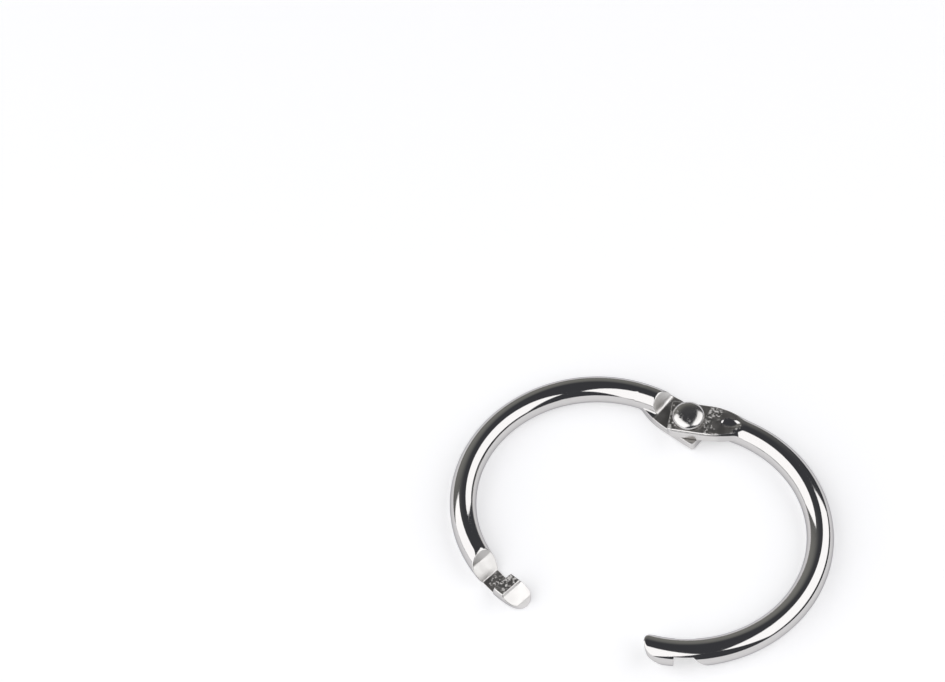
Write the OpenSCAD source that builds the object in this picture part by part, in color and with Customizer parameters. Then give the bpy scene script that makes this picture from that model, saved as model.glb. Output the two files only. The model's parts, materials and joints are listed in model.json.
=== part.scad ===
// Hinged binder ring: two identical half rings of coined steel wire, one turned over on the other.
// A domed rivet joins their flattened ends, and a hooked lap joint latches their free ends.
// The ring lies flat: Z is up, and it stands on Z = 0. Lengths are in millimetres.

/* [Ring] */
// Clear width inside the closed ring, from hinge to catch
inner_d = 25; // [23:0.5:40]
// Thickness of the round wire
wire_d = 2.8; // [2.6:0.1:3]
// How far the ring is opened from its latched position, in degrees
open_angle = 41; // [15:1:120]
// How far each half ring's own centre lies outside the closed ring's
arm_offset = 0.3; // [0.1:0.05:0.4]

/* [Hinge] */
// How far the rivet's axis lies inside the wire's centre line
hinge_inset = 0.3; // [0.1:0.05:0.5]
// Angle of each hinge plate below the ring's tangent, in degrees
plate_droop = 6.5; // [6:0.5:9]
// Width of the flattened hinge plate
plate_w = 3.9; // [3.6:0.1:4]
// Thickness of the flattened hinge plate
plate_t = 1.2; // [1:0.05:1.25]
// Reach of the plate past the rivet's axis
plate_end = 2; // [1.8:0.1:2.2]
// Distance from the rivet's axis to the foot of the shoulder
shoulder_at = 3.45; // [3.3:0.05:3.6]
// Axial play between the plates, and between the upper plate and the rivet's head
hinge_play = 0.05; // [0.02:0.01:0.08]

/* [Rivet] */
// Thickness of the rivet's shank
shank_d = 2; // [1.6:0.1:2.2]
// Radial play of the upper plate on the shank
bore_play = 0.05; // [0.02:0.01:0.1]
// Width of the rivet's head
head_d = 3.45; // [3:0.05:3.7]
// Height of the head's straight rim
head_rim = 0.35; // [0.2:0.05:0.5]
// Height of the whole head
head_h = 0.87; // [0.7:0.01:1]

/* [Catch] */
// Length of the lap joint, from one shoulder to the other
lap_len = 7.6; // [7.4:0.1:7.8]
// Gap between a tip and the shoulder it meets
tip_gap = 0.5; // [0.4:0.05:0.6]
// Height of the tooth above the wire's middle
tooth_h = 0.7; // [0.6:0.05:0.75]
// Length of the tooth's crest
tooth_len = 1.2; // [1:0.05:1.25]

/* [Hidden] */

$fn = 72;
over = 1;                              // how far a cutter runs past the steel
wire_r = wire_d / 2;
ring_r = inner_d / 2 + wire_r;         // centre line of the round wire
hinge_r = ring_r - hinge_inset;        // rivet's axis from the ring's centre

// Hinge end, along the plate from the rivet's axis
waist_at = 1.5;                        // where the plate starts to narrow
neck_r = 11;                           // curve of its two sides from there
crown_r = 2.15;                        // turned form that rounds the plate's top edges
crown_at = 2.2;
crown_end = 6;
crown_bend_r = 8;
corner_r = 0.5;
shoulder_run = 0.8;                    // shoulder's slope, from its foot to the wire's surface
coin_end = 4.9;                        // the pressed face is level up to here
coin_run = 0.8;                        // and then rises to the wire's surface
dimple_at = 4.4;                       // punch mark on the pressed face
dimple_len = 1.8;
dimple_r = 0.7;                        // across its middle
dimple_depth = 0.22;
dimple_bend_r = dimple_len * dimple_len / 8 / dimple_depth + dimple_depth / 2;

// Catch, as a height over the wire's middle for each distance from the shoulder's top edge
shoulder_foot = 0.5;                   // where the steep shoulder turns into the ramp
foot_z = 0.55;
ramp_end = 1.9;                        // the ramp runs down to the level that clears the other tooth
floor_z = -0.85;
tooth_run = 0.2;                       // slope behind the tooth's crest
nose_z = 0.42;                         // the nose falls from here to its end
nose_end_z = -0.25;
hook_gap = 0.12;                       // between the two hook faces when latched
hook_at = (lap_len + hook_gap) / 2;
crest_end = hook_at + tooth_len;
shoulder_slope = (wire_r - foot_z) / shoulder_foot;

// Rivet
tail_d = 2.7;
tail_h = 0.15;
dome_h = head_h - head_rim;
dome_r = (head_d * head_d / 4 + dome_h * dome_h) / 2 / dome_h;

// The wire's two ends, as compass angles round the closed ring from the hinge
wire_from = asin((shoulder_at - over) / ring_r);
wire_to = 180 + asin((lap_len / 2 + arm_offset + over) / ring_r);

// The rest position: each arm swung out by half the opening, and the whole ring centred over the origin
swing = open_angle / 2;
far_edge = ring_r + wire_r - hinge_r * cos(swing) + arm_offset * sin(swing);
near_edge = -(hinge_r + ring_r) * cos(swing) - wire_r - lap_len / 4 * sin(swing);
hinge_y = -(far_edge + near_edge) / 2;

// Round wire along the ring's circle, clockwise between two compass angles
module wire(from, to) {
    rotate([0, 0, 90 - to]) rotate_extrude(angle = to - from) translate([ring_r, 0]) circle(wire_r);
}

// A side profile in X and Z, cut or kept through the full width of the wire
module across(width) {
    rotate([90, 0, 0]) translate([0, 0, -width / 2]) linear_extrude(width) children();
}

// The hinge end's own frame: the rivet's axis at its origin and the wire leaving along +X
module at_hinge() {
    translate([0, hinge_r, 0]) rotate([0, 0, -plate_droop]) children();
}

// Outline of the plate from above
module plate_outline() {
    blunt = plate_w / 2 - corner_r;
    translate([-plate_end, -blunt]) square([plate_end + waist_at, 2 * blunt]);
    translate([-plate_end + corner_r, -plate_w / 2]) square([plate_end - corner_r + waist_at, plate_w]);
    for (side = [-1, 1]) translate([-plate_end + corner_r, side * blunt]) circle(corner_r);
    intersection_for(side = [-1, 1])
        translate([waist_at, side * (neck_r - plate_w / 2)]) circle(neck_r);
}

// Turned form with a long shoulder, which rounds the plate's top edges as it runs into the wire
module crown() {
    rotate([0, 90, 0]) rotate_extrude()
        union() {
            translate([0, -plate_end - over]) square([crown_r, crown_at + plate_end + over]);
            intersection() {
                translate([crown_r - crown_bend_r, crown_at]) circle(crown_bend_r);
                translate([0, crown_at]) square([crown_r, crown_end - crown_at]);
            }
        }
}

// Flattened end of the wire with its mating face down
module hinge_plate() {
    intersection() {
        translate([0, 0, hinge_play / 2]) linear_extrude(plate_t) plate_outline();
        crown();
    }
}

// What the press takes off the round wire: the mating side up to the shoulder, and the outer face
module hinge_press() {
    across(plate_w + 2 * over)
        polygon([
            [-plate_end - over, hinge_play / 2],
            [shoulder_at, hinge_play / 2],
            [shoulder_at + shoulder_run, -wire_r],
            [shoulder_at + shoulder_run, -wire_r - over],
            [-plate_end - over, -wire_r - over]
        ]);
    across(plate_w + 2 * over)
        polygon([
            [-plate_end - over, plate_t + hinge_play / 2],
            [coin_end, plate_t + hinge_play / 2],
            [coin_end + coin_run, wire_r],
            [coin_end + coin_run, wire_r + over],
            [-plate_end - over, wire_r + over]
        ]);
}

// Long shallow punch mark, as a pointed round tool leaves it
module dimple() {
    translate([dimple_at, 0, plate_t + hinge_play / 2 - dimple_depth + dimple_r])
        rotate([0, 90, 0]) rotate_extrude()
            intersection() {
                translate([dimple_r - dimple_bend_r, 0]) circle(dimple_bend_r);
                translate([0, -dimple_len]) square([dimple_r, 2 * dimple_len]);
            }
}

// Space that the other arm's lap needs, under this arm's wire, with this arm's shoulder at +X
module lap_space() {
    translate([lap_len / 2, 0, 0]) mirror([1, 0, 0])
        across(wire_d + 2 * over)
            polygon([
                [-over / shoulder_slope, -wire_r - over],
                [shoulder_foot, -foot_z],
                [ramp_end, -floor_z],
                [hook_at, -floor_z],
                [hook_at, -tooth_h],
                [crest_end, -tooth_h],
                [crest_end + tooth_run, -nose_z],
                [lap_len - tip_gap - (wire_r + nose_end_z) / shoulder_slope, -nose_end_z],
                [lap_len - tip_gap + over / shoulder_slope, wire_r + over],
                [lap_len + 2 * over, wire_r + over],
                [lap_len + 2 * over, -wire_r - over]
            ]);
}

// Half ring, latched, as the upper arm: hinge at +Y, catch at -Y, bulging to +X
module half_ring(bore_r) {
    difference() {
        union() {
            translate([arm_offset, 0, 0]) wire(wire_from, wire_to);
            at_hinge() hinge_plate();
        }
        at_hinge() {
            hinge_press();
            dimple();
            translate([0, 0, -over]) cylinder(r = bore_r, h = plate_t + 2 * over);
        }
        translate([0, -ring_r, 0]) lap_space();
    }
}

// Places what is drawn about the closed ring's centre, swung about the rivet and lying on Z = 0
module swung(angle) {
    translate([0, hinge_y, wire_r]) rotate([0, 0, angle]) translate([0, -hinge_r, 0]) children();
}

module lower_arm() {
    color("silver") swung(-swing) rotate([0, 180, 0]) half_ring(shank_d / 2);
}

module upper_arm() {
    color("silver") swung(swing) half_ring(shank_d / 2 + bore_play);
}

// Shank with a domed head above the upper plate, and its tail peened under the lower plate
module hinge_rivet() {
    bottom = -plate_t - hinge_play / 2;
    top = plate_t + 1.5 * hinge_play;
    color("gainsboro") translate([0, hinge_y, wire_r]) {
        translate([0, 0, bottom - tail_h]) cylinder(d = tail_d, h = tail_h);
        translate([0, 0, bottom]) cylinder(d = shank_d, h = top - bottom);
        translate([0, 0, top]) intersection() {
            cylinder(d = head_d, h = head_h);
            translate([0, 0, head_h - dome_r]) sphere(dome_r);
        }
    }
}

lower_arm();
upper_arm();
hinge_rivet();
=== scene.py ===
import json
import math

import bmesh
import bpy
import numpy as np
from mathutils import Matrix, Vector


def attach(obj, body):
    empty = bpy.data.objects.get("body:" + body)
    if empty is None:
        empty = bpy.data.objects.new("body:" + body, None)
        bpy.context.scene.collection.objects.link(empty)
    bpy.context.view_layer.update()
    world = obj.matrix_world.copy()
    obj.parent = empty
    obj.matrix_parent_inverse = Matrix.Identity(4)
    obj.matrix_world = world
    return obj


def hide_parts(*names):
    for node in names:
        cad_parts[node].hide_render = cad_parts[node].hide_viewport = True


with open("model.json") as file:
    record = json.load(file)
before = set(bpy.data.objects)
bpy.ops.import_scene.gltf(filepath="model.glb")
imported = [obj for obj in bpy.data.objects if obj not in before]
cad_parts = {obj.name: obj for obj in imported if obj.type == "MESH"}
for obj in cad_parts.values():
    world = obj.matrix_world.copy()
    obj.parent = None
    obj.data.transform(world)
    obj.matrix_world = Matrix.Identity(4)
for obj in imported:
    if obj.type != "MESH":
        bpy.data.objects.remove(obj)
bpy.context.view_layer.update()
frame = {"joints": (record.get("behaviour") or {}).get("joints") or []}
mm = 0.001
bpy.context.scene.view_settings.view_transform = "Standard"

hinge = frame["joints"][0]
rivetPoint = Vector(hinge["pos_m"])
halfOpening = math.radians(-hinge["range_deg"][0]) / 2   # the lowest limit is the latched ring
print("frame loaded, opened by", -hinge["range_deg"][0], "degrees")


cameraSet = {
    "azimuth": 30.7,          # degrees round from the front
    "elevation": 54.7,
    "roll": -5.7,
    "distance": 270.2,        # mm, along the line of sight
    "focalPixels": 2600,
    "imageWidth": 945,
    "imageHeight": 682,
    "ringX": 640.3,           # pixel where the ring's middle falls
    "ringY": 516.0,
    "sensor": 36,
}


def addCamera(look):
    azimuth, elevation, roll = (math.radians(look[key]) for key in ("azimuth", "elevation", "roll"))
    ahead = Vector((-math.sin(azimuth) * math.cos(elevation), math.cos(azimuth) * math.cos(elevation),
                    -math.sin(elevation)))
    level = Vector((math.cos(azimuth), math.sin(azimuth), 0))
    across = level * math.cos(roll) + level.cross(ahead) * math.sin(roll)
    upward = across.cross(ahead)
    scale = look["distance"] / look["focalPixels"]
    offX = (look["ringX"] - look["imageWidth"] / 2) * scale
    offY = (look["ringY"] - look["imageHeight"] / 2) * scale
    middle = Vector((0, 0, rivetPoint.z))
    place = middle + mm * (upward * offY - across * offX - ahead * look["distance"])
    camera = bpy.data.objects.new("camera", bpy.data.cameras.new("camera"))
    camera.data.lens = look["focalPixels"] * look["sensor"] / look["imageWidth"]
    camera.data.sensor_width = look["sensor"]
    camera.data.clip_start = 0.005
    camera.matrix_world = Matrix((across, upward, -ahead)).transposed().to_4x4()
    camera.location = place
    bpy.context.scene.collection.objects.link(camera)
    bpy.context.scene.camera = camera
    return level, ahead


sideways, lineOfSight = addCamera(cameraSet)
print("camera placed")


def toLinear(hexColour):
    parts = [int(hexColour[i:i + 2], 16) / 255 for i in (1, 3, 5)]
    return [c / 12.92 if c <= 0.04045 else ((c + 0.055) / 1.055) ** 2.4 for c in parts] + [1]


def addNode(tree, kind, settings=None, links=None):
    # settings go on the node or its sockets, and links name what feeds each socket
    node = tree.nodes.new(kind)
    for key, value in (settings or {}).items():
        if isinstance(key, int) or key in node.inputs:
            node.inputs[key].default_value = value
        else:
            setattr(node, key, value)
    for key, source in (links or {}).items():
        tree.links.new(source, node.inputs[key])
    return node


def newMaterial(name):
    material = bpy.data.materials.new(name)
    material.use_nodes = True
    material.node_tree.nodes.clear()
    return material, material.node_tree


def addObject(name, bm, materials):
    mesh = bpy.data.meshes.new(name)
    bm.to_mesh(mesh)
    bm.free()
    for material in materials:
        mesh.materials.append(material)
    piece = bpy.data.objects.new(name, mesh)
    bpy.context.scene.collection.objects.link(piece)
    return piece


studio = {
    "floorSize": 3.0,          # m
    "floorColour": "#dcdcde",
    "floorGlow": 0.40,         # what lifts the sheet to white for the eye and in the metal
    "darkRoom": "#45464a",     # the unlit studio above the sheet
    "greyWall": "#8a8a86",     # a lighter wall behind
    "wallAzimuth": -165,       # degrees from the camera's side
    "wallElevation": 5,
    "wallEdges": (0.55, 0.95), # where it fades out and where it is full, as cosines from its middle
}

softboxes = {                  # degrees from the camera's side, + to its right; sizes in m
    "rightSoftbox": {"azimuth": 83, "elevation": 41, "wide": 0.84, "high": 0.50, "away": 0.5,
                     "radiance": 1.5},
    "leftSoftbox": {"azimuth": -70, "elevation": 38, "wide": 1.15, "high": 0.72, "away": 0.5,
                    "radiance": 1.5},
}


def fromCamera(azimuth, elevation):
    # unit vector at that azimuth round from the camera's side
    towards = Vector((-lineOfSight.x, -lineOfSight.y, 0)).normalized()
    a, e = math.radians(azimuth), math.radians(elevation)
    return (towards * math.cos(a) + sideways * math.sin(a)) * math.cos(e) + Vector((0, 0, math.sin(e)))


def addFloor(look):
    material, tree = newMaterial("paperSweep")   # matt white paper: an even ground with a soft shadow
    path = addNode(tree, "ShaderNodeLightPath")
    seen = addNode(tree, "ShaderNodeMath", {"operation": "MAXIMUM"},
                   {0: path.outputs["Is Camera Ray"], 1: path.outputs["Is Glossy Ray"]})
    seen = addNode(tree, "ShaderNodeMath", {"operation": "MAXIMUM"},
                   {0: seen.outputs[0], 1: path.outputs["Is Transmission Ray"]})
    glow = addNode(tree, "ShaderNodeMath", {"operation": "MULTIPLY", 1: look["floorGlow"]},
                   {0: seen.outputs[0]})
    paper = addNode(tree, "ShaderNodeBsdfPrincipled",
                    {"Base Color": toLinear(look["floorColour"]), "Roughness": 1, "Specular IOR Level": 0,
                     "Emission Color": (1, 1, 1, 1)},
                    {"Emission Strength": glow.outputs[0]})
    addNode(tree, "ShaderNodeOutputMaterial", {}, {"Surface": paper.outputs[0]})
    bm = bmesh.new()
    bmesh.ops.create_grid(bm, x_segments=1, y_segments=1, size=look["floorSize"] / 2)
    floor = addObject("floor", bm, [material])


def addWorld(look):
    world = bpy.data.worlds.new("studio")
    bpy.context.scene.world = world
    world.use_nodes = True
    tree = world.node_tree
    tree.nodes.clear()
    path = addNode(tree, "ShaderNodeLightPath")
    place = addNode(tree, "ShaderNodeTexCoord")
    facing = addNode(tree, "ShaderNodeVectorMath",
                     {"operation": "DOT_PRODUCT", 1: fromCamera(look["wallAzimuth"], look["wallElevation"])},
                     {0: place.outputs["Generated"]})
    wall = addNode(tree, "ShaderNodeMapRange",
                   {"interpolation_type": "SMOOTHSTEP", "From Min": look["wallEdges"][0],
                    "From Max": look["wallEdges"][1]},
                   {0: facing.outputs["Value"]})
    room = addNode(tree, "ShaderNodeMix",
                   {"data_type": "RGBA", 6: toLinear(look["darkRoom"]), 7: toLinear(look["greyWall"])},
                   {0: wall.outputs[0]})
    dark = addNode(tree, "ShaderNodeBackground", {"Strength": 1}, {"Color": room.outputs[2]})
    white = addNode(tree, "ShaderNodeBackground", {"Color": (1, 1, 1, 1), "Strength": 1})
    both = addNode(tree, "ShaderNodeMixShader", {},
                   {0: path.outputs["Is Camera Ray"], 1: dark.outputs[0], 2: white.outputs[0]})
    addNode(tree, "ShaderNodeOutputWorld", {}, {"Surface": both.outputs[0]})


def addSoftbox(name, look):
    lamp = bpy.data.lights.new(name, "AREA")
    lamp.shape = "RECTANGLE"
    lamp.size, lamp.size_y = look["wide"], look["high"]
    lamp.energy = look["radiance"] * math.pi * look["wide"] * look["high"]
    away = fromCamera(look["azimuth"], look["elevation"])
    softbox = bpy.data.objects.new(name, lamp)
    softbox.rotation_mode = "QUATERNION"
    softbox.rotation_quaternion = away.to_track_quat("Z", "Y")
    softbox.location = away * look["away"]
    softbox.visible_camera = False
    bpy.context.scene.collection.objects.link(softbox)


addFloor(studio)
addWorld(studio)
for softboxName, softboxLook in softboxes.items():
    addSoftbox(softboxName, softboxLook)
print("studio lit")


nickel = {
    "plate": "#cecccb",        # clean nickel, hardly warm
    "plateRoughness": 0.07,
    "grazing": "#c4c4c8",      # nickel stays grey at a glancing angle
    "slope": "#dedcda",        # smooth faces left by the forming dies
    "slopeRoughness": 0.3,
    "flat": "#a19e9b",         # coined flats; their darker colour is painted shade on the faces that lie level
    "flatEdges": (0.9, 0.98),  # how level a face is before it counts as a flat
    "mark": 0.14,              # mm across the small raised marks on the flats
    "markEdges": (0.52, 0.68), # of the noise that draws them: the higher, the fewer
    "markHeight": 0.05,        # mm
    # the marks' colour: lighter than the plate, a painted glint that keeps the real raised marks bright from
    # every side
    "markGlintColour": "#eceae8",
    "markRoughness": 0.3,      # over the flat's own
    "patch": 1.3,              # mm between the patches that hold them
    "patchEdges": (0.44, 0.56),
    "mottle": 0.5,             # mm, cloudy tone of every pressed face
    "mottleEdges": (0.35, 0.65),
    "mottleRoughness": 0.1,
    "grain": 0.1,              # mm, grain of every pressed face, drawn coarser than real so that it shows
    "grainHeight": 0.004,      # mm
    "ripple": 1.44,            # mm between the faint waves that drawing leaves on the bright wire
    "rippleHeight": 0.05,      # mm
    "rippleStrength": 0.05,
}

headNickel = {**nickel, "plateRoughness": 0.13, "flatEdges": (0.8, 0.98), "markHeight": 0.03}

noiseSpan = 500                # mm, the width of one blob in a noise of scale 1


def makeNickel(name, look):
    material, tree = newMaterial(name)
    place = addNode(tree, "ShaderNodeTexCoord")
    pressed = addNode(tree, "ShaderNodeAttribute", {"attribute_name": "pressed"}).outputs["Fac"]
    noise = {}
    for pattern, detail in {"mark": 1, "patch": 2, "mottle": 3, "grain": 2, "ripple": 2}.items():
        noise[pattern] = addNode(tree, "ShaderNodeTexNoise",
                                 {"Scale": noiseSpan / look[pattern], "Detail": detail},
                                 {"Vector": place.outputs["Object"]})

    # flats are the pressed faces that lie level and take a painted shade, and the marks stand on them in
    # patches
    facing = addNode(tree, "ShaderNodeSeparateXYZ", {}, {0: place.outputs["Normal"]})
    upright = addNode(tree, "ShaderNodeMath", {"operation": "ABSOLUTE"}, {0: facing.outputs["Z"]})
    masks = {}
    for mask, value, edges in (("level", upright, "flatEdges"), ("spots", noise["mark"], "markEdges"),
                               ("patches", noise["patch"], "patchEdges"),
                               ("cloud", noise["mottle"], "mottleEdges")):
        masks[mask] = addNode(tree, "ShaderNodeMapRange",
                              {"interpolation_type": "SMOOTHSTEP", "From Min": look[edges][0],
                               "From Max": look[edges][1]},
                              {0: value.outputs[0]})
    for mask, one, two in (("flat", masks["level"].outputs[0], pressed),
                           ("clouds", masks["cloud"].outputs[0], pressed),
                           ("grouped", masks["spots"].outputs[0], masks["patches"].outputs[0])):
        masks[mask] = addNode(tree, "ShaderNodeMath", {"operation": "MULTIPLY"}, {0: one, 1: two})
    marks = addNode(tree, "ShaderNodeMath", {"operation": "MULTIPLY"},
                    {0: masks["grouped"].outputs[0], 1: masks["flat"].outputs[0]})

    colour = addNode(tree, "ShaderNodeMix",
                     {"data_type": "RGBA", 6: toLinear(look["plate"]), 7: toLinear(look["slope"])},
                     {0: pressed})
    # the level flats get a darker colour as painted shade, and the marks a lighter one as a painted glint
    for tint, share in (("flat", masks["flat"]), ("markGlintColour", marks)):
        colour = addNode(tree, "ShaderNodeMix", {"data_type": "RGBA", 7: toLinear(look[tint])},
                         {0: share.outputs[0], 6: colour.outputs[2]})
    gloss = addNode(tree, "ShaderNodeMapRange",
                    {"To Min": look["plateRoughness"], "To Max": look["slopeRoughness"]},
                    {0: pressed})
    for rise, share in (("mottleRoughness", masks["clouds"]), ("markRoughness", marks)):
        gloss = addNode(tree, "ShaderNodeMath", {"operation": "MULTIPLY_ADD", 1: look[rise]},
                        {0: share.outputs[0], 2: gloss.outputs[0]})

    ripple = addNode(tree, "ShaderNodeBump",
                     {"Strength": look["rippleStrength"], "Distance": look["rippleHeight"] * mm},
                     {"Height": noise["ripple"].outputs[0]})
    grain = addNode(tree, "ShaderNodeBump", {"Distance": look["grainHeight"] * mm},
                    {"Strength": pressed, "Height": noise["grain"].outputs[0],
                     "Normal": ripple.outputs[0]})
    raised = addNode(tree, "ShaderNodeBump", {"Strength": 1, "Distance": look["markHeight"] * mm},
                     {"Height": marks.outputs[0], "Normal": grain.outputs[0]})
    metal = addNode(tree, "ShaderNodeBsdfPrincipled",
                    {"Metallic": 1, "Specular Tint": toLinear(look["grazing"])},
                    {"Base Color": colour.outputs[2], "Roughness": gloss.outputs[0],
                     "Normal": raised.outputs[0]})
    addNode(tree, "ShaderNodeOutputMaterial", {}, {"Surface": metal.outputs[0]})
    return material


# bright nickel plate on steel wire: a mirror on the round, satin on the dies' slopes, with painted shade on
# the flats and painted glints on their marks
nickelWire = makeNickel("brightNickelPlate", nickel)
# the same plate on a peened head: softer highlights, and a few specks on its top, where a wider level range
# lets more of the dome take the flats' painted shade
nickelHead = makeNickel("peenedNickelPlate", headNickel)
print("nickel mixed")


arm = {                        # mm; a half ring lies latched, hinge at +Y, catch at -Y, mating face down
    "ringRadius": 13.9,
    "offset": 0.3,             # its own centre, outside the closed ring's
    "wireRadius": 1.4,
    "hingeRadius": 13.6,
    # hinge plate, with distances along it from the rivet's axis
    "plateDroop": 6.5,         # degrees below the ring's tangent
    "plateWidth": 3.9,
    "plateEnd": 2.0,
    "plateLow": 0.025,         # its two faces, up from the wire's middle
    "plateHigh": 1.225,
    "cornerRadius": 0.5,
    "waistAt": 1.5,            # where it starts to narrow
    "neckRadius": 11,
    "crownRadius": 2.15,       # turned form that rounds its top edges
    "crownAt": 2.2,
    "crownBend": 8,
    "shoulderAt": 3.45,        # foot of the shoulder on the mating side
    "shoulderRun": 0.8,
    "footFillet": 0.3,
    "filletSteps": 7,
    "coinEnd": 4.9,            # the pressed outer face is level up to here
    "coinRun": 0.8,
    "plateGone": 6.7,          # round wire only from here
    "dimpleAt": 4.4,           # punch mark
    "dimpleLength": 1.8,
    "dimpleRadius": 0.7,       # its cross section
    "dimpleDepth": 0.22,
    "dimpleFloor": 0.07,       # where its bottom is level
    # catch, with distances from its shoulder's top edge and levels up from the wire's middle
    "lapLength": 7.6,
    "shoulderFoot": 0.5,
    "footLevel": -0.55,
    "rampEnd": 1.9,
    "floor": 0.85,
    "hookAt": 3.86,
    "tooth": -0.7,
    "crestEnd": 5.06,
    "toothRun": 0.2,
    "nose": -0.42,
    "noseEnd": 0.4,
    "tipRun": 0.35,            # along the steep end of the nose
    "tipRound": 1.45,          # the tip's corners, seen from above
    "tipSoft": 0.25,
    "tipGap": 0.6,
    # finish
    "shearedDullness": 0.6,    # of the plate's cut edge, where 1 is as dull as the pressed faces
    "neckStart": 3.6,
    "neckFade": 0.6,           # over which the cut edge turns bright
    "dullEdge": 0.05,          # half the width over which a pressed face turns bright
    "dimpleRim": 0.06,         # bright rim of the punch mark
    "edgeRound": 0.1,          # softened edges, across
    "weld": 0.25,              # how softly the plate runs into the wire
    # how finely it is drawn, as distances between the mesh's rings
    "wireStep": 0.34,
    "plateStep": 0.1,
    "shoulderStep": 0.06,
    "shoulderEase": 0.04,      # how near a ring comes to a corner of the profile
    "lapStep": 0.09,
    "lapEase": 0.03,
    "endGaps": (0.001, 0.004, 0.012, 0.03, 0.06, 0.1),
    "tipGaps": (0.3, 0.22, 0.16, 0.11, 0.07, 0.04, 0.02, 0.008, 0.002),
    "spokes": (48, 40, 28, 40),  # round each ring: underside, one side, top and the other side
    "crowding": 0.6,           # of the spokes towards the flats' ends, from 0 to 1
    "halvings": 26,            # of the search for the surface along each spoke
    "wiredBefore": 0.3,        # a ring's spokes turn from the plate's flats to the wire's round form
    "wiredAfter": 1.7,         # from so far before the end of the pressed face to so far after
    "turnOver": 0.25,          # radians over which a ring turns square to the wire
    "lapBefore": 0.25,         # how far before the shoulder the lap's rings start
    "flatLeast": 0.5,          # narrowest half flats that the spokes aim at
    "lapLeast": 0.3,
    "tipLeast": 0.05,
}

far = 3.0                      # mm, past any steel
steep = 0.02                   # half the run of a wall that stands upright
sliver = 0.1                   # mm, keeps a root above nothing


def lapProfile(a):
    slope = (a["wireRadius"] + a["footLevel"]) / a["shoulderFoot"]
    tipEnd = a["lapLength"] - a["tipGap"]
    return [
        (-(far - a["wireRadius"]) / slope, -far),
        (a["shoulderFoot"], a["footLevel"]),
        (a["rampEnd"], a["floor"]),
        (a["hookAt"] - steep, a["floor"]),
        (a["hookAt"] + steep, a["tooth"]),
        (a["crestEnd"], a["tooth"]),
        (a["crestEnd"] + a["toothRun"], a["nose"]),
        (tipEnd - a["tipRun"], a["noseEnd"]),
        (tipEnd, a["wireRadius"]),
        (tipEnd + a["tipRun"], far),
    ]


def underProfile(a):
    drop = a["shoulderRun"] / (a["wireRadius"] + a["plateLow"])
    fillet = [(u * u * drop - (1 - u) ** 2, -u * u) for u in np.linspace(0, 1, a["filletSteps"])]
    return [
        (-far, a["plateLow"]),
        *((a["shoulderAt"] + a["footFillet"] * x, a["plateLow"] + a["footFillet"] * z) for x, z in fillet),
        (a["shoulderAt"] + drop * (far + a["plateLow"]), -far),
        (2 * a["ringRadius"], -far),
    ]


def topProfile(a):
    rise = a["coinRun"] / (a["wireRadius"] - a["plateHigh"])
    return [
        (-far, a["plateHigh"]),
        (a["coinEnd"], a["plateHigh"]),
        (a["coinEnd"] + rise * (far - a["plateHigh"]), far),
        (2 * a["ringRadius"] + far, far),
    ]


def heightAt(profile, along):
    return np.interp(along, *zip(*profile))


def belowProfile(profile, along, height):
    # distance to the profile, positive below it
    nearest = np.full(along.shape, far * 10)
    for (a0, h0), (a1, h1) in zip(profile, profile[1:]):
        run, rise = a1 - a0, h1 - h0
        share = np.clip(((along - a0) * run + (height - h0) * rise) / (run * run + rise * rise), 0, 1)
        nearest = np.minimum(nearest, np.hypot(along - a0 - share * run, height - h0 - share * rise))
    return np.where(height < heightAt(profile, along), nearest, -nearest)


def softMax(p, q, width):
    return np.maximum(p, q) + np.maximum(width - np.abs(p - q), 0) ** 2 / (4 * width)


def smooth(value, low, high):
    share = np.clip((value - low) / (high - low), 0, 1)
    return share * share * (3 - 2 * share)


def inHingeFrame(a, x, y):
    droop = math.radians(a["plateDroop"])
    y = y - a["hingeRadius"]
    return x * math.cos(droop) - y * math.sin(droop), x * math.sin(droop) + y * math.cos(droop)


def fromHingeFrame(a, along, side):
    droop = math.radians(a["plateDroop"])
    return (along * math.cos(droop) + side * math.sin(droop),
            a["hingeRadius"] - along * math.sin(droop) + side * math.cos(droop))


def plateHalf(a, along):
    half = a["plateWidth"] / 2
    corner = np.clip(-a["plateEnd"] + a["cornerRadius"] - along, 0, a["cornerRadius"])
    neck = np.clip(along - a["waistAt"], 0, a["neckRadius"] - sliver)
    return (half - a["cornerRadius"] + np.sqrt(a["cornerRadius"] ** 2 - corner ** 2)
            - a["neckRadius"] + np.sqrt(a["neckRadius"] ** 2 - neck ** 2))


def crownAcross(a, along):
    bend = np.clip(along - a["crownAt"], 0, a["crownBend"] - sliver)
    return a["crownRadius"] - a["crownBend"] + np.sqrt(a["crownBend"] ** 2 - bend ** 2)


def dimpleAt(a, along, side, z):
    # distance outside the pointed tool that sinks the long punch mark
    bend = a["dimpleLength"] ** 2 / 8 / a["dimpleDepth"] + a["dimpleDepth"] / 2
    across = np.hypot(side, z - a["plateHigh"] + a["dimpleDepth"] - a["dimpleRadius"])
    return np.hypot(along - a["dimpleAt"], across + bend - a["dimpleRadius"]) - bend


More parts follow.
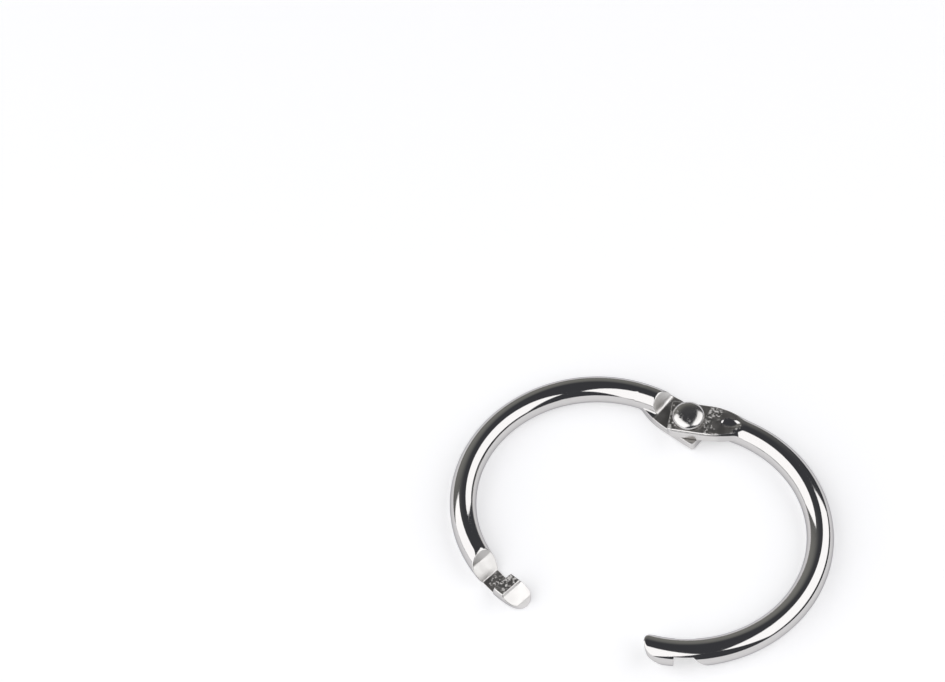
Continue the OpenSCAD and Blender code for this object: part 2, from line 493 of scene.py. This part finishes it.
def steelAt(a, x, y, z):
    # how far a point is outside the steel, and how far outside what the dies leave
    wire = np.hypot(np.hypot(x - a["offset"], y) - a["ringRadius"], z) - a["wireRadius"]
    along, side = inHingeFrame(a, x, y)
    plate = np.maximum(np.abs(side) - plateHalf(a, along), np.hypot(side, z) - crownAcross(a, along))
    plate = softMax(plate, -a["plateEnd"] - along, a["edgeRound"])
    plate = np.maximum(plate, np.where(along > a["shoulderAt"], a["plateLow"] - z, -far))
    plate = np.maximum(plate, np.where(along > a["coinEnd"], z - a["plateHigh"], -far))
    body = np.where(along < a["crownAt"], plate, -softMax(-plate, -wire, a["weld"]))
    body = np.where((y > 0) & (along < a["plateGone"]), body, wire)
    press = np.maximum(belowProfile(underProfile(a), along, z), -belowProfile(topProfile(a), along, z))
    lap = belowProfile(lapProfile(a), a["lapLength"] / 2 - x, z)
    fromTip = x + a["lapLength"] / 2 - a["tipGap"] - a["tipRound"]
    tip = np.hypot(np.minimum(fromTip, 0), np.hypot(x - a["offset"], y) - a["ringRadius"]) - a["tipRound"]
    body = np.where((y < 0) & (fromTip < 0), softMax(body, tip, a["tipSoft"]), body)
    dimple = np.maximum(dimpleAt(a, along, side, z), a["plateHigh"] - a["dimpleFloor"] - z)
    press = np.maximum(press, -dimple)
    die = np.where(y > 0, press, lap)
    dull = smooth(die - body, -a["dullEdge"], a["dullEdge"]) * smooth(np.abs(dimple), 0, a["dimpleRim"])
    sheared = a["shearedDullness"] * (y > 0) * smooth(a["neckStart"] - along, 0, a["neckFade"])
    return softMax(body, die, a["edgeRound"]), np.maximum(dull, sheared)


def walk(profile, start, stop, step, ease):
    # distances along a profile, closer together on its slopes, that pass each corner by on both sides
    spots = []
    for (a0, h0), (a1, h1) in zip(profile, profile[1:]):
        length = math.hypot(a1 - a0, h1 - h0)
        count = max(2, math.ceil((length - 2 * ease) / step) + 1)
        margin = min(ease / length, 0.3)   # a short stretch keeps its middle
        for share in np.linspace(margin, 1 - margin, count):
            spot = a0 + share * (a1 - a0)
            if start < spot < stop:
                spots.append(spot)
    return spots


def hingeStations(a):
    # each station: where a ring of the mesh is centred, which way it faces, its middle, and the
    # level and half width of its lower and upper flat
    under, top, r = underProfile(a), topProfile(a), a["wireRadius"]
    shoulderEnd = a["shoulderAt"] + a["shoulderRun"]
    pressEnd = a["coinEnd"] + a["coinRun"]
    steps = [-a["plateEnd"] + gap for gap in a["endGaps"]] + sorted(
        [*np.arange(-a["plateEnd"] + 1.5 * a["plateStep"], a["shoulderAt"], a["plateStep"]),
         *walk(under, a["shoulderAt"], shoulderEnd, a["shoulderStep"], a["shoulderEase"]),
         *np.arange(shoulderEnd + a["shoulderStep"], pressEnd + 3 * a["plateStep"], a["plateStep"])])
    droop = math.radians(a["plateDroop"])
    plateMiddle = (a["plateLow"] + a["plateHigh"]) / 2
    stations = []
    for along in steps:
        x0, y0 = fromHingeFrame(a, along, 0)
        onRing = math.sqrt(a["ringRadius"] ** 2 - (x0 - a["offset"]) ** 2) - y0
        x, y = fromHingeFrame(a, along, onRing * float(smooth(along, a["crownAt"], a["coinEnd"])))
        wired = float(smooth(along, a["coinEnd"] - a["wiredBefore"], a["coinEnd"] + a["wiredAfter"]))
        high = min(float(heightAt(top, along)), r)
        halves = [min(math.sqrt(max(float(crownAcross(a, along)) ** 2 - level ** 2, a["flatLeast"] ** 2)),
                      float(plateHalf(a, along))) for level in (a["plateLow"], high)]
        lowHalf, highHalf = [half * (1 - wired) + a["flatLeast"] * wired for half in halves]
        stations.append((x, y, droop, plateMiddle * (1 - wired),
                         a["plateLow"] * (1 - wired) - r * wired, lowHalf, high, highHalf))
    return stations


def wireStations(a, start, stop):
    # round wire between two compass angles, turning away from the plate and then towards the lap
    droop = math.radians(a["plateDroop"])
    big, r, flat = a["ringRadius"], a["wireRadius"], a["flatLeast"]
    count = math.ceil((stop - start) * big / a["wireStep"])
    stations = []
    for compass in np.linspace(start, stop, count + 1)[1:]:
        fromPlate = 1 - float(smooth(compass, start, start + a["turnOver"]))
        toLap = float(smooth(compass, stop - a["turnOver"], stop))
        turn = compass + (droop - compass) * fromPlate + (math.pi - compass) * toLap
        stations.append((a["offset"] + big * math.sin(compass), big * math.cos(compass), turn,
                         0, -r, flat, r, flat))
    return stations


def lapStations(a):
    lap, big, r = lapProfile(a), a["ringRadius"], a["wireRadius"]
    tipEnd = a["lapLength"] - a["tipGap"]
    walked = walk(lap, 0, tipEnd - a["tipRun"], a["lapStep"], a["lapEase"])
    stations = []
    for along in sorted(walked + [tipEnd - gap for gap in a["tipGaps"]]):
        x = a["lapLength"] / 2 - along
        low = max(float(heightAt(lap, along)), -r)
        pastRound = max(along - tipEnd + a["tipRound"], 0)
        cornerHalf = math.sqrt(max(a["tipRound"] ** 2 - pastRound ** 2, a["tipLeast"] ** 2))
        lowHalf = min(max(math.sqrt(max(r * r - low * low, 0)), a["lapLeast"]), cornerHalf)
        stations.append((x, -math.sqrt(big * big - (x - a["offset"]) ** 2), math.pi, (low + r) / 2,
                         low, lowHalf, r, min(a["flatLeast"], cornerHalf)))
    return stations


def armStations(a):
    atHinge = hingeStations(a)
    start = math.atan2(atHinge[-1][0] - a["offset"], atHinge[-1][1])
    stop = math.pi - math.asin((a["lapLength"] / 2 + a["lapBefore"] - a["offset"]) / a["ringRadius"])
    return atHinge + wireStations(a, start, stop) + lapStations(a)


def ringRays(a, station):
    # directions out of the ring's centre, crowded together where the flats end
    middle, low, lowHalf, high, highHalf = station[3:]
    ends = [(low, -lowHalf), (low, lowHalf), (high, highHalf), (high, -highHalf), (low, -lowHalf)]
    corners = [math.atan2(level - middle, half) for level, half in ends]
    for i in range(1, 5):
        while corners[i] < corners[i - 1]:
            corners[i] += 2 * math.pi
        while corners[i] > corners[i - 1] + 2 * math.pi:
            corners[i] -= 2 * math.pi
    rays = []
    for i, count in enumerate(a["spokes"]):
        share = np.arange(count) / count
        share = share - a["crowding"] * np.sin(2 * math.pi * share) / (2 * math.pi)
        rays.append(corners[i] + share * (corners[i + 1] - corners[i]))
    return middle, np.concatenate(rays)


def armSurface(a):
    stations = armStations(a)
    origin = np.zeros((len(stations), sum(a["spokes"]), 3))
    ray = np.zeros_like(origin)
    for i, station in enumerate(stations):
        middle, angles = ringRays(a, station)
        x, y, turn = station[:3]
        origin[i] = (x, y, middle)
        ray[i, :, 0] = np.cos(angles) * math.sin(turn)
        ray[i, :, 1] = np.cos(angles) * math.cos(turn)
        ray[i, :, 2] = np.sin(angles)
    inside, outside = np.zeros(ray.shape[:2]), np.full(ray.shape[:2], far)
    for halving in range(a["halvings"]):
        trial = (inside + outside) / 2
        point = origin + ray * trial[..., None]
        beyond = steelAt(a, point[..., 0], point[..., 1], point[..., 2])[0] > 0
        outside = np.where(beyond, trial, outside)
        inside = np.where(beyond, inside, trial)
    point = origin + ray * inside[..., None]
    return point, steelAt(a, point[..., 0], point[..., 1], point[..., 2])[1]


def drawArm(a):
    point, die = armSurface(a)
    bm = bmesh.new()
    spoke = bm.verts.layers.int.new("spoke")
    pressed = bm.verts.layers.float.new("pressed")
    bmesh.ops.create_circle(bm, segments=point.shape[1], radius=1)
    for i, vert in enumerate(bm.verts):
        vert[spoke] = i
    rim = list(bm.edges)
    for station in range(point.shape[0]):
        if station:
            grown = bmesh.ops.extrude_edge_only(bm, edges=rim)["geom"]
            rim = [edge for edge in grown if isinstance(edge, bmesh.types.BMEdge)]
        for vert in {v for edge in rim for v in edge.verts}:
            vert.co = Vector(point[station, vert[spoke]]) * mm
            vert[pressed] = float(die[station, vert[spoke]])
    bmesh.ops.holes_fill(bm, edges=[e for e in bm.edges if e.is_boundary])
    bmesh.ops.recalc_face_normals(bm, faces=bm.faces)
    for face in bm.faces:
        face.smooth = True
    return bm


armShape = drawArm(arm)
print("half ring drawn,", len(armShape.faces), "faces")


def placeArm(name, body, turnedOver):
    bm = armShape.copy()
    if turnedOver:
        bmesh.ops.rotate(bm, cent=(0, 0, 0), matrix=Matrix.Rotation(math.pi, 3, "Y"), verts=bm.verts)
    bmesh.ops.translate(bm, vec=(0, -arm["hingeRadius"] * mm, 0), verts=bm.verts)
    swing = -halfOpening if turnedOver else halfOpening
    bmesh.ops.rotate(bm, cent=(0, 0, 0), matrix=Matrix.Rotation(swing, 3, "Z"), verts=bm.verts)
    bmesh.ops.translate(bm, vec=rivetPoint, verts=bm.verts)
    piece = addObject(name, bm, [nickelWire])
    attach(piece, body)
    return piece


lowerArm = placeArm("lower_half_ring", "riveted_half", True)
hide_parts("lower_arm")
upperArm = placeArm("upper_half_ring", "swinging_half", False)
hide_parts("upper_arm")
print("half rings placed")


rivet = {                      # mm, up from the wire's middle
    "headWidth": 3.45,
    "headRim": 0.35,
    "headHeight": 0.87,
    "headUnder": 1.275,
    "rimRound": 0.12,
    "rimSteps": ((0.18, 0.15), (0, 0.7)),        # in and down, as shares of the rounding
    "underRound": 0.5,         # of the rounding, under the head
    "domeFullness": 4.2,       # 2 is an even dome, more is flatter on top
    "struck": 0.35,            # how far the dome has a pressed face's finish, with the flats' painted shade and the marks' painted glint on its level top
    "shankWidth": 2.0,
    "tailWidth": 2.7,
    "tailHeight": 0.15,
    "tailSteps": ((0, 0.5), (0.1, 0.9), (0.3, 1)),   # in, and down as a share of the height
    "plateUnder": 1.225,
    "domeSteps": 26,
    "steps": 96,               # round the axis
}


def drawRivet(r):
    # half outline from the dome's pole to the tail's, spun round the rivet's axis
    half, shank, tail = r["headWidth"] / 2, r["shankWidth"] / 2, r["tailWidth"] / 2
    dome = r["headHeight"] - r["headRim"]
    rimTop = r["headUnder"] + r["headRim"]
    soft = r["rimRound"] * r["underRound"]
    outline = [(half * share, rimTop + dome * (1 - share ** r["domeFullness"]))
               for share in np.linspace(0, 1 - r["rimRound"] / half, r["domeSteps"])]
    outline += [(half - r["rimRound"] * inward, rimTop - r["rimRound"] * down)
                for inward, down in r["rimSteps"]]
    outline += [(half, r["headUnder"] + soft), (half - soft, r["headUnder"]), (shank, r["headUnder"]),
                (shank, -r["plateUnder"]), (tail, -r["plateUnder"])]
    outline += [(tail - inward, -r["plateUnder"] - r["tailHeight"] * down)
                for inward, down in r["tailSteps"]]
    outline.append((0, -r["plateUnder"] - r["tailHeight"]))
    bm = bmesh.new()
    pressed = bm.verts.layers.float.new("pressed")
    verts = [bm.verts.new((x * mm, 0, z * mm)) for x, z in outline]
    for one, two in zip(verts, verts[1:]):
        bm.edges.new((one, two))
    bmesh.ops.spin(bm, geom=list(bm.verts) + list(bm.edges), cent=(0, 0, 0), axis=(0, 0, 1),
                   angle=2 * math.pi, steps=r["steps"], use_merge=True, use_duplicate=False)
    bmesh.ops.remove_doubles(bm, verts=bm.verts, dist=1e-6)
    bmesh.ops.recalc_face_normals(bm, faces=bm.faces)
    for vert in bm.verts:
        vert[pressed] = r["struck"] if vert.co.z > rimTop * mm else 0
    bmesh.ops.translate(bm, vec=rivetPoint, verts=bm.verts)
    for face in bm.faces:
        face.smooth = True
    return bm


rivetPiece = addObject("domed_rivet", drawRivet(rivet), [nickelHead])
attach(rivetPiece, "riveted_half")
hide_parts("hinge_rivet")
print("rivet turned")
